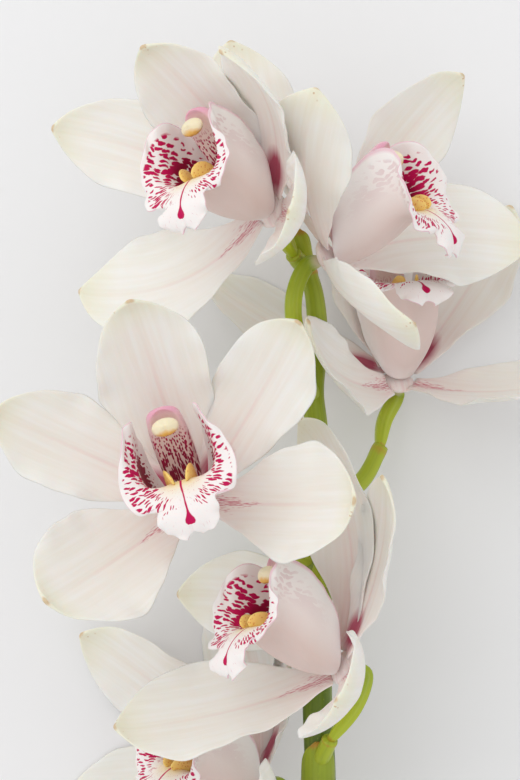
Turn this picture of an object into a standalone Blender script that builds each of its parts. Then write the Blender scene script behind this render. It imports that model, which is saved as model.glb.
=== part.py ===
"""A cut stem of cymbidium orchid with six open blooms, lying on a table.

Lengths are millimetres and angles are degrees until a mesh is written, which is in metres.
x runs right, y runs up the stem towards its tip, and z is up from the table.
The stem carries the blooms. Bloom 1 is the lowest on the stem and bloom 6 the highest.
"""

import math
from dataclasses import dataclass

import bmesh
import bpy
import numpy as np

# The table under the stem, and the middle of the whole spray, which becomes the origin.
FLOOR = -36.0
CENTRE = (9.36, -142.73)

# The gap between pieces that touch.
GAP = 0.35

# Thickness of a tepal and of a lip.
TEPAL_THICK = 1.2
LIP_THICK = 1.0

# Divisions of a tepal and of a lip, along and across.
TEPAL_ROWS, TEPAL_COLS = 8, 4
LIP_ROWS, LIP_COLS = 13, 8

# The five tepals start on a ring round the seat of the bloom.
RING = 4.2
CLAW = 3.6


PIECES = bpy.data.collections.new("orchid stem")


@dataclass
class Tepal:
    """One sepal or petal. The tip is measured from the seat of its bloom, in the frame of the table.

    belly and sway bow its middle backwards and sideways, roll turns it about its length, twist turns
    it more and more towards its tip, and channel is half the angle that it bends through across.
    step is how far in front of the seat it starts.
    """

    tip: tuple
    width: float = 33.0
    belly: float = 4.0
    sway: float = 0.0
    roll: float = 0.0
    twist: float = 0.0
    channel: float = 30.0
    curl: float = 0.0
    wave: float = 0.0
    phase: float = 0.0
    widest: float = 0.6
    step: float = -0.6


@dataclass
class Bloom:
    """One bloom: where its seat is, which way it faces, where its dorsal sepal points, and its parts.

    back is how far behind the seat the ovary comes into line with the bloom.
    """

    seat: tuple
    faces: tuple
    up: tuple
    tepals: tuple
    stalk: tuple
    ovary: tuple
    back: float = 8.5


def petal(tip, **more):
    """A petal is narrower than a sepal and sits in front of them."""
    values = {"width": 28.0, "step": 0.9, "channel": 24.0}
    values.update(more)
    return Tepal(tip, **values)


# Each bloom lists its dorsal sepal, right petal, left petal, right and left lateral sepal,
# right and left being as it is seen from its own front.
BLOOMS = {
    "bloom_1": Bloom(
        seat=(-0.5, -112.5, -16),
        faces=(-0.80, 0.20, 0.57),
        up=(0.28, 0.95, 0.0),
        tepals=(
            Tepal((-10, 59, -12), width=34),
            petal((7, 45, 12), roll=20),
            petal((-51, 43, -9)),
            Tepal((-2, -8, 50), width=36, channel=60),
            Tepal((-58, -10, -20), width=35),
        ),
        stalk=((16.2, -141, 0), (12.8, -138.5, -3.5), (10.8, -134.5, -6)),
        ovary=((9, -126, -12),),
    ),
    "bloom_2": Bloom(
        seat=(21.7, -75.5, 20),
        faces=(-0.815, 0.355, 0.455),
        up=(0.23, 0.92, -0.32),
        tepals=(
            Tepal((-10, 68, -8), width=35, sway=7),
            petal((12, 53, 28)),
            petal((-45, 17, -37), sway=7),
            Tepal((-1, -5, 52), width=38, channel=66),
            Tepal((-62, -18, -3), width=37),
        ),
        stalk=((16.0, -105, 0), (17.5, -101.5, 4.5), (19.5, -97, 8)),
        ovary=((26, -88, 11),),
    ),
    "bloom_3": Bloom(
        seat=(-18, -30.2, 22),
        faces=(-0.09, 0.17, 0.98),
        up=(-0.28, 0.94, -0.19),
        tepals=(
            Tepal((-17, 55, 21), width=33),
            petal((29, 49, 26)),
            petal((-54, 25, 17)),
            Tepal((44, 1, 38), width=34),
            Tepal((-39, -26, 38), width=36),
        ),
        stalk=((16.4, -48, 0), (12.5, -46.5, 1.5), (8.8, -44.5, 2.2)),
        ovary=((1, -39.5, 2.5), (-9, -34, 5)),
    ),
    "bloom_4": Bloom(
        seat=(39.7, 3.4, -24),
        faces=(0.10, 0.85, 0.50),
        up=(-0.30, 0.52, -0.80),
        tepals=(
            Tepal((-12, 58, -8), width=32),
            petal((34, 50, -11)),
            petal((-58, 31, -11)),
            Tepal((51, 1, 28), width=33),
            Tepal((-28, 15, 52), width=28, roll=38, sway=-5),
        ),
        stalk=((16.8, -33, 0), (22, -31, -6), (29.5, -25, -12), (34.4, -16, -15)),
        ovary=((35.6, -9, -20.5),),
        back=7.0,
    ),
    "bloom_5": Bloom(
        seat=(19.7, 37.2, 12),
        faces=(0.83, 0.37, 0.42),
        up=(-0.42, 0.90, 0.0),
        tepals=(
            Tepal((-28, 60, -9), width=32, roll=-38, twist=95),
            petal((37, 52, -16)),
            petal((-5, 42, 38), roll=-15, twist=-65),
            Tepal((57, 3, -22), width=34, sway=-7),
            Tepal((20, -21, 50), width=33),
        ),
        stalk=((14.8, -2, 0), (13.6, 0.5, 4), (12.9, 4, 6.5)),
        ovary=((12.0, 11, 9.5), (9.4, 19, 11.5), (9.6, 27, 11)),
    ),
    "bloom_6": Bloom(
        seat=(2.4, 49.4, 22),
        faces=(-0.68, 0.195, 0.705),
        up=(-0.06, 0.89, -0.30),
        tepals=(
            Tepal((-34, 44, 14), width=32),
            petal((-12, 40, 40), belly=7),
            petal((-60, 23, -9), width=27, sway=3),
            Tepal((6, -4, 51), width=36, channel=60),
            Tepal((-53, -22, -25), width=33, sway=-7),
        ),
        stalk=((12.4, 34.5, 0), (10.8, 36, 3), (9.2, 37.8, 5.5)),
        ovary=((7.0, 42, 10),),
        back=6.5,
    ),
}

# Stations of the lip from its claw to its tip, in the frame of its bloom, as y and z of the middle,
# then x, y and z of the corner where the floor turns up, then x, y and z of the margin.
LIP = (
    ((-2.7, 1.4), (3.2, -3.0, 1.4), (4.8, 0.8, 3.1)),
    ((-3.8, 7.0), (8.5, -5.0, 7.0), (7.6, 9.5, 8.0)),
    ((-3.6, 12.0), (12.5, -5.6, 12.0), (8.4, 14.5, 12.5)),
    ((-2.4, 17.0), (15.0, -5.4, 17.5), (8.6, 18.2, 18.0)),
    ((-0.8, 21.0), (15.5, -4.8, 22.0), (8.6, 20.6, 25.0)),
    ((0.8, 24.5), (15.5, -3.6, 26.0), (9.0, 20.0, 31.5)),
    ((1.5, 27.2), (15.0, -2.6, 29.2), (11.8, 15.0, 34.5)),
    ((1.2, 29.4), (12.5, -2.6, 30.6), (14.8, 8.0, 33.8)),
    ((0.0, 31.2), (9.5, -3.2, 32.0), (16.0, 1.5, 32.6)),
    ((-2.2, 33.0), (7.0, -4.6, 33.4), (13.4, -5.0, 33.0)),
    ((-4.8, 34.3), (4.6, -6.4, 34.8), (7.8, -5.6, 33.6)),
    ((-7.8, 35.0), (5.0, -9.0, 35.4), (8.4, -9.6, 34.0)),
    ((-10.8, 34.5), (4.2, -11.8, 34.6), (6.4, -12.8, 33.2)),
    ((-13.2, 33.0), (1.6, -13.8, 32.8), (2.0, -14.4, 32.0)),
)

# The column: points of its middle, and half its width and half its depth at each.
COLUMN = (
    (0.6, 1.72),
    (2.5, 4.6),
    (5.4, 8.6),
    (9.2, 13.0),
    (13.8, 18.2),
    (18.2, 23.0),
    (20.8, 26.6),
    (21.6, 28.6),
)
COLUMN_WIDE = (2.4, 4.0, 5.0, 5.3, 5.4, 5.4, 5.2, 3.6)
COLUMN_DEEP = (1.8, 2.2, 2.6, 2.8, 2.8, 2.8, 2.0, 1.2)

# The anther cap, under the hood at the end of the column.
CAP_AT = (0.0, 16.4, 28.8)
CAP_SIZE = (3.5, 2.5, 2.6)

# The stem from its tip down to its cut end, and its radius at each point.
STEM = (
    (12.3, 36.0, 0.0, 2.3),
    (15.1, 26.6, 0.0, 2.7),
    (16.0, 14.0, 0.0, 3.0),
    (14.8, 0.0, 0.0, 3.1),
    (15.7, -11.0, 0.0, 3.3),
    (16.8, -31.0, 0.0, 3.6),
    (16.3, -59.0, 0.0, 3.9),
    (16.0, -87.0, 0.0, 4.2),
    (16.8, -109.0, 0.0, 4.4),
    (16.2, -137.0, 0.0, 4.6),
    (13.5, -180.0, -3.0, 4.7),
    (9.0, -240.0, -10.5, 4.9),
    (3.0, -300.0, -20.0, 5.0),
    (-3.0, -350.0, -27.5, 5.1),
    (-7.0, -382.0, -31.0, 5.2),
)

# Sheathing scales: foot, direction, radius at the foot, length, the side they stand on, and half their wrap.
BRACTS = (
    ((12.9, 33.5, 0.0), (-0.25, 1.0, 0.1), 2.4, 12.0, 90.0, 110.0),
    ((16.6, -55.0, 0.0), (0.02, 1.0, 0.0), 3.9, 11.0, 130.0, 80.0),
    ((16.2, -110.0, 0.0), (0.0, 1.0, 0.0), 4.4, 12.0, 90.0, 80.0),
    ((15.0, -165.0, -1.8), (0.05, 1.0, 0.05), 4.7, 34.0, 70.0, 120.0),
    ((8.2, -250.0, -12.0), (0.085, 1.0, 0.145), 4.95, 44.0, 120.0, 130.0),
    ((-2.0, -341.0, -26.2), (0.11, 1.0, 0.145), 5.1, 48.0, 60.0, 130.0),
)

MATERIALS = {
    "stem": (0.30, 0.42, 0.08),
    "tepals": (0.86, 0.82, 0.76),
    "lip": (0.80, 0.55, 0.60),
    "column": (0.80, 0.55, 0.52),
    "anther_cap": (0.88, 0.80, 0.50),
    "ovary": (0.45, 0.56, 0.12),
}


def unit(v):
    v = np.asarray(v, float)
    return v / np.linalg.norm(v, axis=-1, keepdims=True)


def turned(a, b, degrees):
    """Two vectors turned towards each other about the axis that both stand on."""
    r = np.radians(degrees)
    return np.cos(r) * a + np.sin(r) * b, -np.sin(r) * a + np.cos(r) * b


def axes_of(bloom):
    """Columns: right of the bloom, its dorsal direction, and the way it faces."""
    facing = unit(bloom.faces)
    up = np.asarray(bloom.up, float)
    dorsal = unit(up - facing * np.dot(up, facing))
    return np.column_stack([np.cross(dorsal, facing), dorsal, facing])


def smooth_line(points, at):
    """A Catmull-Rom curve through the points, at parameters from 0 to 1."""
    p = np.asarray(points, float)
    p = np.vstack([2 * p[0] - p[1], p, 2 * p[-1] - p[-2]])
    x = np.clip(np.asarray(at, float), 0, 1) * (len(p) - 3)
    k = np.minimum(x.astype(int), len(p) - 4)
    f = (x - k)[..., None]
    a, b, c, d = p[k], p[k + 1], p[k + 2], p[k + 3]
    return 0.5 * (
        2 * b + (c - a) * f + (2 * a - 5 * b + 4 * c - d) * f**2 + (3 * b - a - 3 * c + d) * f**3
    )


def half_width(t, tepal):
    """Half the width of a tepal at t of its length: a narrow base, widest past the middle, a blunt tip."""
    most = tepal.width / 2
    rise = np.clip(t / tepal.widest, 0, 1)
    fall = np.clip((t - tepal.widest) / (1 - tepal.widest), 0, 1)
    grow = CLAW + (most - CLAW) * np.sin(np.pi / 2 * rise) ** 1.5
    close = 0.8 + (most - 0.8) * (1 - fall**2.2) ** 0.86
    return np.where(t < tepal.widest, grow, close)


def tepal_points(tepal, axes, t, v):
    """Points of the middle surface of a tepal, t along it from 0 to 1 and v across it from -1 to 1."""
    facing = axes[:, 2]
    tip = np.asarray(tepal.tip, float)
    flat = unit(tip - facing * np.dot(tip, facing))
    base = RING * flat + tepal.step * facing
    chord = tip - base
    along = unit(chord)
    front = unit(facing - along * np.dot(facing, along))
    side = np.cross(along, front)
    side, front = turned(side, front, tepal.roll)
    arch = 4 * t * (1 - t)
    hook = np.clip((t - 0.7) / 0.3, 0, 1) ** 2
    middle = (
        base
        + chord * t[:, None]
        - front * (tepal.belly * arch)[:, None]
        + side * (tepal.sway * arch)[:, None]
        + front * (tepal.curl * hook)[:, None]
    )
    slope = 4 * (1 - 2 * t)
    bend = tepal.curl * 2 * np.clip((t - 0.7) / 0.3, 0, 1) / 0.3
    run = unit(
        chord
        - front * (tepal.belly * slope - bend)[:, None]
        + side * (tepal.sway * slope)[:, None]
    )
    across = unit(side - run * (run @ side)[:, None])
    normal = np.cross(across, run)
    across, normal = turned(across, normal, (tepal.twist * t)[:, None])
    h = half_width(t, tepal)
    bent = np.radians(tepal.channel) * (0.4 + 0.6 * np.sin(np.pi * t) ** 0.8) + 1e-6
    wide = h * np.sin(bent * v) / bent
    deep = h * (1 - np.cos(bent * v)) / bent
    swing = 2 * np.pi * (1.5 * t + 0.2 * np.sign(v)) + tepal.phase
    deep = deep + tepal.wave * np.sin(swing) * v**2 * np.sin(np.pi * t)
    return middle + across * wide[:, None] + normal * deep[:, None]


def lip_points(u, v):
    """Points of the middle surface of the lip in the frame of its bloom, u along it and v across it."""
    middle = smooth_line([(0.0,) + m for m, _, _ in LIP], u)
    corner = smooth_line([c for _, c, _ in LIP], u)
    margin = smooth_line([e for _, _, e in LIP], u)
    w = np.abs(v)[:, None]
    point = (1 - w) ** 2 * middle + 2 * w * (1 - w) * corner + w**2 * margin
    point[:, 0] *= np.sign(v)
    return point


def write(bm, place, name):
    """A mesh object in metres from a bmesh, with every vertex put where place() says, in millimetres."""
    old = np.array([v.co[:] for v in bm.verts])
    new = (place(old) - np.array([CENTRE[0], CENTRE[1], FLOOR])) / 1000
    for vert, co in zip(bm.verts, new):
        vert.co = co
    mesh = bpy.data.meshes.new(name)
    bm.to_mesh(mesh)
    bm.free()
    thing = bpy.data.objects.new(name, mesh)
    PIECES.objects.link(thing)
    return thing


def settled(thing):
    """Applies the modifiers of an object."""
    graph = bpy.context.evaluated_depsgraph_get()
    mesh = bpy.data.meshes.new_from_object(thing.evaluated_get(graph))
    thing.modifiers.clear()
    thing.data = mesh
    return thing


def sheet(rows, cols, thick, place, name, offset=0.0):
    """A thin shell from a flat grid: place() gets how far along and how far across each vertex is."""
    bm = bmesh.new()
    bmesh.ops.create_grid(bm, x_segments=cols, y_segments=rows, size=1.0)
    bmesh.ops.triangulate(bm, faces=bm.faces[:])
    thing = write(bm, lambda co: place((co[:, 1] + 1) / 2, co[:, 0]), name)
    shell = thing.modifiers.new("Thickness", "SOLIDIFY")
    shell.thickness = thick / 1000
    shell.offset = offset
    shell.use_even_offset = False
    return settled(thing)


def pod(segments, rings, place, name):
    """A closed round body from a ball.

    place() gets how far along it each vertex is, its angle, and its share of the radius.
    """
    bm = bmesh.new()
    bmesh.ops.create_uvsphere(bm, u_segments=segments, v_segments=rings, radius=1.0)

    def put(co):
        t = 1 - np.arccos(np.clip(co[:, 2], -1, 1)) / np.pi
        return place(t, np.arctan2(co[:, 1], co[:, 0]), np.hypot(co[:, 0], co[:, 1]))

    return write(bm, put, name)


def swept(points, wide, deep, sideways, t, angle, share):
    """Points round a curved line, with an oval section."""
    t = (1 - np.cos(np.pi * t)) / 2
    line = smooth_line(points, t)
    run = unit(smooth_line(points, t + 0.01) - smooth_line(points, t - 0.01))
    across = unit(sideways - run * (run @ sideways)[:, None])
    normal = np.cross(run, across)
    w = smooth_line([(x, 0) for x in wide], t)[:, 0]
    d = smooth_line([(x, 0) for x in deep], t)[:, 0]
    full = share**0.6
    return (
        line
        + across * (w * np.cos(angle) * full)[:, None]
        + normal * (d * np.sin(angle) * full)[:, None]
    )


def fused(base, others):
    """One closed body from several that overlap."""
    group = bpy.data.collections.new("fusing")
    bpy.context.scene.collection.children.link(group)
    for other in others:
        PIECES.objects.unlink(other)
        group.objects.link(other)
    union = base.modifiers.new("Fuse", "BOOLEAN")
    union.operation = "UNION"
    union.operand_type = "COLLECTION"
    union.collection = group
    union.solver = "MANIFOLD"
    settled(base)
    for other in others:
        bpy.data.objects.remove(other)
    bpy.data.collections.remove(group)
    return base


def rested(thing):
    """Flattens what would reach below the table, so that the piece rests on a small flat spot."""
    bm = bmesh.new()
    bmesh.ops.create_cube(bm, size=2.0)
    size = np.array([400.0, 600.0, 20.0])
    slab = write(bm, lambda co: co * size + np.array([0, 0, FLOOR - 20.0]), "slab")
    cut = thing.modifiers.new("Rest", "BOOLEAN")
    cut.operation = "DIFFERENCE"
    cut.object = slab
    cut.solver = "MANIFOLD"
    settled(thing)
    bpy.data.objects.remove(slab)
    return thing


def painted(thing, kind):
    """Gives a node its own material."""
    paint = bpy.data.materials.new(thing.name)
    paint.use_nodes = True
    surface = paint.node_tree.nodes["Principled BSDF"]
    surface.inputs["Base Color"].default_value = MATERIALS[kind] + (1.0,)
    surface.inputs["Roughness"].default_value = 0.55
    paint.diffuse_color = MATERIALS[kind] + (1.0,)
    thing.data.materials.clear()
    thing.data.materials.append(paint)


def tepals_of(name, bloom):
    """The five tepals and the seat they grow from, as one body."""
    axes = axes_of(bloom)
    seat = np.asarray(bloom.seat, float)

    def cushion(t, angle, share):
        local = np.column_stack(
            [5.0 * share * np.cos(angle), 5.0 * share * np.sin(angle), -4.2 + 5.6 * t]
        )
        return seat + local @ axes.T

    body = pod(12, 6, cushion, name + "_tepals")
    blades = [
        sheet(
            TEPAL_ROWS,
            TEPAL_COLS,
            TEPAL_THICK,
            lambda s, v, one=one: seat + tepal_points(one, axes, 1 - (1 - s) ** 1.25, v),
            "blade",
        )
        for one in bloom.tepals
    ]
    return rested(fused(body, blades))


def lip_of(name, bloom):
    """The lip: a trough with two upright side lobes and a turned down front lobe."""
    axes = axes_of(bloom)
    return sheet(
        LIP_ROWS,
        LIP_COLS,
        LIP_THICK,
        lambda s, v: np.asarray(bloom.seat) + lip_points(s, v) @ axes.T,
        name + "_lip",
    )


def column_of(name, bloom):
    """The column that arches over the lip."""
    axes = axes_of(bloom)
    line = [(0.0,) + point for point in COLUMN]

    def place(t, angle, share):
        local = swept(line, COLUMN_WIDE, COLUMN_DEEP, np.array([1.0, 0, 0]), t, angle, share)
        return np.asarray(bloom.seat) + local @ axes.T

    return pod(12, 8, place, name + "_column")


def cap_of(name, bloom):
    """The anther cap at the end of the column."""
    axes = axes_of(bloom)

    def place(t, angle, share):
        local = np.column_stack(
            [
                CAP_SIZE[0] * share * np.cos(angle),
                CAP_SIZE[1] * share * np.sin(angle),
                CAP_SIZE[2] * (2 * t - 1),
            ]
        )
        return np.asarray(bloom.seat) + (local + np.array(CAP_AT)) @ axes.T

    return pod(10, 6, place, name + "_anther_cap")


def ovary_of(name, bloom):
    """The ribbed stalk behind a bloom, thickest near the bloom."""
    axes = axes_of(bloom)
    joint = np.asarray(bloom.stalk[-1], float)
    leaving = unit(joint - np.asarray(bloom.stalk[-2]))
    back, end = (np.asarray(bloom.seat) - axes[:, 2] * far for far in (bloom.back, 4.2 + GAP))
    line = [joint + 1.2 * GAP * leaving] + list(bloom.ovary) + [back, end]
    wide = np.linspace(2.3, 2.9, len(line))

    def place(t, angle, share):
        return swept(line, wide, wide, np.array([0.3, 0.2, 0.93]), t, angle, share)

    return pod(10, 8, place, name + "_ovary")


def rod(points, name, sides):
    """A round rod with filled ends along a smooth line of points with a radius each."""
    count = (len(points) - 1) * 2 + 1
    line = smooth_line(points, np.linspace(0, 1, count))
    curve = bpy.data.curves.new(name, "CURVE")
    curve.dimensions = "3D"
    curve.bevel_mode = "ROUND"
    curve.bevel_depth = 0.001
    curve.bevel_resolution = sides // 2 - 2
    curve.use_fill_caps = True
    spline = curve.splines.new("POLY")
    spline.points.add(count - 1)
    for spot, (x, y, z, r) in zip(spline.points, line):
        spot.co = ((x - CENTRE[0]) / 1000, (y - CENTRE[1]) / 1000, (z - FLOOR) / 1000, 1)
        spot.radius = r
    guide = bpy.data.objects.new(name, curve)
    PIECES.objects.link(guide)
    graph = bpy.context.evaluated_depsgraph_get()
    mesh = bpy.data.meshes.new_from_object(guide.evaluated_get(graph))
    bpy.data.objects.remove(guide)
    bm = bmesh.new()
    bm.from_mesh(mesh)
    bmesh.ops.remove_doubles(bm, verts=bm.verts[:], dist=0.00001)
    bm.to_mesh(mesh)
    bm.free()
    thing = bpy.data.objects.new(name, mesh)
    PIECES.objects.link(thing)
    return thing


def bract(foot, lean, radius, length, open_at, wrap, name):
    """A sheathing scale that hugs the stem at its foot and ends in a free point."""
    foot = np.asarray(foot, float)
    along = unit(lean)
    sideways = unit(np.cross([0, 0, 1.0], along))
    upward = np.cross(along, sideways)

    def place(t, v):
        angle = np.radians(open_at + wrap * v * (1 - 0.97 * t**2.4) ** 0.8)
        out = radius + 0.55 + 1.5 * t**3
        spoke = np.cos(angle)[:, None] * sideways + np.sin(angle)[:, None] * upward
        return foot + along * (length * t)[:, None] + spoke * out[:, None]

    return sheet(4, 6, 2.4, place, name, -1.0)


def stem_of():
    """The stem with a short stalk and a scale for each bloom, and sheaths lower down."""
    stem = rod(STEM, "stem", 12)
    others = []
    for name, bloom in BLOOMS.items():
        points = [spot + (2.5,) for spot in bloom.stalk[:-1]] + [bloom.stalk[-1] + (2.2,)]
        others.append(rod(points, name + "_stalk", 8))
    for values in BRACTS:
        others.append(bract(*values, "bract"))
    return rested(fused(stem, others))


def main():
    for thing in list(bpy.data.objects):
        bpy.data.objects.remove(thing)
    bpy.context.scene.collection.children.link(PIECES)
    painted(stem_of(), "stem")
    for name, bloom in BLOOMS.items():
        painted(tepals_of(name, bloom), "tepals")
        painted(lip_of(name, bloom), "lip")
        painted(column_of(name, bloom), "column")
        painted(cap_of(name, bloom), "anther_cap")
        painted(ovary_of(name, bloom), "ovary")


if __name__ == "__main__":
    main()
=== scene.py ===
# A cut stem of cymbidium orchid with six open blooms, finished over its solid model.
from dataclasses import dataclass
from functools import partial

import bmesh
import bpy
import numpy as np
from bpy.props import FloatProperty, FloatVectorProperty, PointerProperty
from mathutils import Color, Matrix


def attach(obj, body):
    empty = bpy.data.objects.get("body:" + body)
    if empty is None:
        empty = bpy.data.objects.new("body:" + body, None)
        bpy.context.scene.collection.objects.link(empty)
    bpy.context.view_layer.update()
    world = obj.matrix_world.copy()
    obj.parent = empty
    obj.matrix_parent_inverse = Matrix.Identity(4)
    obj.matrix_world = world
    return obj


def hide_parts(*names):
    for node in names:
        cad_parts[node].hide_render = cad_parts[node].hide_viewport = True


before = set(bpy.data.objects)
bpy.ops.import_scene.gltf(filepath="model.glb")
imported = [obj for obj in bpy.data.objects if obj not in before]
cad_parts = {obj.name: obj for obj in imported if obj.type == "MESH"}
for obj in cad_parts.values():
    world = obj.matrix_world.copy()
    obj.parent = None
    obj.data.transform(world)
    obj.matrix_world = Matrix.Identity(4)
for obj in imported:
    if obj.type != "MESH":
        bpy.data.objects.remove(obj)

bl_info = {
    "name": "Cymbidium Stem",
    "version": (1, 0, 0),
    "blender": (4, 5, 0),
    "location": "View3D > Sidebar > Orchid",
    "description": "Builds a cut cymbidium stem with six blooms in full detail",
    "category": "Object",
}

# Lengths are millimetres and angles are degrees until a mesh is written, which is in metres.
# x runs right, y runs up the stem towards its tip, and z is up from the table.

# The table under the stem, and the middle of the whole spray, which becomes the origin.
FLOOR = -36.0
CENTRE = (9.36, -142.73)

TURN = 2 * np.pi

# The five tepals start on a ring round the seat of the bloom. A claw is half the width of their bases.
RING = 4.2
CLAW = 3.6
KINDS = ("dorsal", "petal", "petal", "lateral", "lateral")

# The seat is a small ball that the tepals grow from, and this is how far it reaches along the bloom.
SEAT_RADIUS = 5.0
SEAT_BACK = -4.2
SEAT_FRONT = 1.4

# The share of its thickness that a margin keeps, and the thickness of a sheathing scale.
MARGIN_SHARE = 0.35
SCALE_THICK = 0.9

# The lengths that patterns run along.
LIP_LENGTH = 46.0
COLUMN_LENGTH = 36.0
OVARY_LENGTH = 30.0
STALK_LENGTH = 14.0


@dataclass
class Tepal:
    """One sepal or petal. The tip is measured from the seat of its bloom, in the frame of the table.

    belly and sway bow its middle backwards and sideways, roll turns it about its length, twist turns
    it more and more towards its tip, and channel is half the angle that it bends through across.
    step is how far in front of the seat it starts.
    """

    tip: tuple
    width: float = 33.0
    belly: float = 4.0
    sway: float = 0.0
    roll: float = 0.0
    twist: float = 0.0
    channel: float = 30.0
    widest: float = 0.6
    step: float = -0.6


@dataclass
class Bloom:
    """One bloom: where its seat is, which way it faces, where its dorsal sepal points, and its parts.

    back is how far behind the seat the ovary comes into line with the bloom.
    """

    seat: tuple
    faces: tuple
    up: tuple
    tepals: tuple
    stalk: tuple
    ovary: tuple
    back: float = 8.5


def petal(tip, **more):
    """A petal is narrower than a sepal and sits in front of them."""
    values = {"width": 28.0, "step": 0.9, "channel": 24.0}
    values.update(more)
    return Tepal(tip, **values)


# Each bloom lists its dorsal sepal, right petal, left petal, right and left lateral sepal,
# right and left being as it is seen from its own front.
BLOOMS = {
    "1": Bloom(
        seat=(-0.5, -112.5, -16),
        faces=(-0.80, 0.20, 0.57),
        up=(0.28, 0.95, 0.0),
        tepals=(
            Tepal((-10, 59, -12), width=34),
            petal((7, 45, 12), roll=20),
            petal((-51, 43, -9)),
            Tepal((-2, -8, 50), width=36, channel=60),
            Tepal((-58, -10, -20), width=35),
        ),
        stalk=((16.2, -141, 0), (12.8, -138.5, -3.5), (10.8, -134.5, -6)),
        ovary=((9, -126, -12),),
    ),
    "2": Bloom(
        seat=(21.7, -75.5, 20),
        faces=(-0.815, 0.355, 0.455),
        up=(0.23, 0.92, -0.32),
        tepals=(
            Tepal((-10, 68, -8), width=35, sway=7),
            petal((12, 53, 28)),
            petal((-45, 17, -37), sway=7),
            Tepal((-1, -5, 52), width=38, channel=66),
            Tepal((-62, -18, -3), width=37),
        ),
        stalk=((16.0, -105, 0), (17.5, -101.5, 4.5), (19.5, -97, 8)),
        ovary=((26, -88, 11),),
    ),
    "3": Bloom(
        seat=(-18, -30.2, 22),
        faces=(-0.09, 0.17, 0.98),
        up=(-0.28, 0.94, -0.19),
        tepals=(
            Tepal((-17, 55, 21), width=33),
            petal((29, 49, 26)),
            petal((-54, 25, 17)),
            Tepal((44, 1, 38), width=34),
            Tepal((-39, -26, 38), width=36),
        ),
        stalk=((16.4, -48, 0), (12.5, -46.5, 1.5), (8.8, -44.5, 2.2)),
        ovary=((1, -39.5, 2.5), (-9, -34, 5)),
    ),
    "4": Bloom(
        seat=(39.7, 3.4, -24),
        faces=(0.10, 0.85, 0.50),
        up=(-0.30, 0.52, -0.80),
        tepals=(
            Tepal((-12, 58, -8), width=32),
            petal((34, 50, -11)),
            petal((-58, 31, -11)),
            Tepal((51, 1, 28), width=33),
            Tepal((-28, 15, 52), width=28, roll=38, sway=-5),
        ),
        stalk=((16.8, -33, 0), (22, -31, -6), (29.5, -25, -12), (34.4, -16, -15)),
        ovary=((35.6, -9, -20.5),),
        back=7.0,
    ),
    "5": Bloom(
        seat=(19.7, 37.2, 12),
        faces=(0.83, 0.37, 0.42),
        up=(-0.42, 0.90, 0.0),
        tepals=(
            Tepal((-28, 60, -9), width=32, roll=-38, twist=95),
            petal((37, 52, -16)),
            petal((-5, 42, 38), roll=-15, twist=-65),
            Tepal((57, 3, -22), width=34, sway=-7),
            Tepal((20, -21, 50), width=33),
        ),
        stalk=((14.8, -2, 0), (13.6, 0.5, 4), (12.9, 4, 6.5)),
        ovary=((12.0, 11, 9.5), (9.4, 19, 11.5), (9.6, 27, 11)),
    ),
    "6": Bloom(
        seat=(2.4, 49.4, 22),
        faces=(-0.68, 0.195, 0.705),
        up=(-0.06, 0.89, -0.30),
        tepals=(
            Tepal((-34, 44, 14), width=32),
            petal((-12, 40, 40), belly=7),
            petal((-60, 23, -9), width=27, sway=3),
            Tepal((6, -4, 51), width=36, channel=60),
            Tepal((-53, -22, -25), width=33, sway=-7),
        ),
        stalk=((12.4, 34.5, 0), (10.8, 36, 3), (9.2, 37.8, 5.5)),
        ovary=((7.0, 42, 10),),
        back=6.5,
    ),
}

# Stations of the lip from its claw to its tip, in the frame of its bloom, as y and z of the middle,
# then x, y and z of the corner where the floor turns up, then x, y and z of the margin.
LIP = (
    ((-2.7, 1.4), (3.2, -3.0, 1.4), (4.8, 0.8, 3.1)),
    ((-3.8, 7.0), (8.5, -5.0, 7.0), (7.6, 9.5, 8.0)),
    ((-3.6, 12.0), (12.5, -5.6, 12.0), (8.4, 14.5, 12.5)),
    ((-2.4, 17.0), (15.0, -5.4, 17.5), (8.6, 18.2, 18.0)),
    ((-0.8, 21.0), (15.5, -4.8, 22.0), (8.6, 20.6, 25.0)),
    ((0.8, 24.5), (15.5, -3.6, 26.0), (9.0, 20.0, 31.5)),
    ((1.5, 27.2), (15.0, -2.6, 29.2), (11.8, 15.0, 34.5)),
    ((1.2, 29.4), (12.5, -2.6, 30.6), (14.8, 8.0, 33.8)),
    ((0.0, 31.2), (9.5, -3.2, 32.0), (16.0, 1.5, 32.6)),
    ((-2.2, 33.0), (7.0, -4.6, 33.4), (13.4, -5.0, 33.0)),
    ((-4.8, 34.3), (4.6, -6.4, 34.8), (7.8, -5.6, 33.6)),
    ((-7.8, 35.0), (5.0, -9.0, 35.4), (8.4, -9.6, 34.0)),
    ((-10.8, 34.5), (4.2, -11.8, 34.6), (6.4, -12.8, 33.2)),
    ((-13.2, 33.0), (1.6, -13.8, 32.8), (2.0, -14.4, 32.0)),
)

# The keels from the throat outwards: height as a share of the highest, and half their width.
KEEL_TALL = (0.35, 0.45, 0.55, 0.75, 0.9, 0.85, 0.6)
KEEL_WIDE = (0.45, 0.55, 0.55, 0.6, 0.65, 0.75, 0.65)

# The column: points of its middle, and half its width and half its depth at each.
COLUMN = (
    (0.6, 1.72),
    (2.5, 4.6),
    (5.4, 8.6),
    (9.2, 13.0),
    (13.8, 18.2),
    (18.2, 23.0),
    (20.8, 26.6),
    (21.6, 28.6),
)
COLUMN_WIDE = (2.4, 4.0, 5.0, 5.3, 5.4, 5.4, 5.2, 3.6)
COLUMN_DEEP = (1.8, 2.2, 2.6, 2.8, 2.8, 2.8, 2.0, 1.2)

# The anther cap, under the hood at the end of the column: its middle, and half its size each way.
CAP_AT = (0.0, 16.4, 28.8)
CAP_SIZE = (3.71, 2.5, 2.6)

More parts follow.
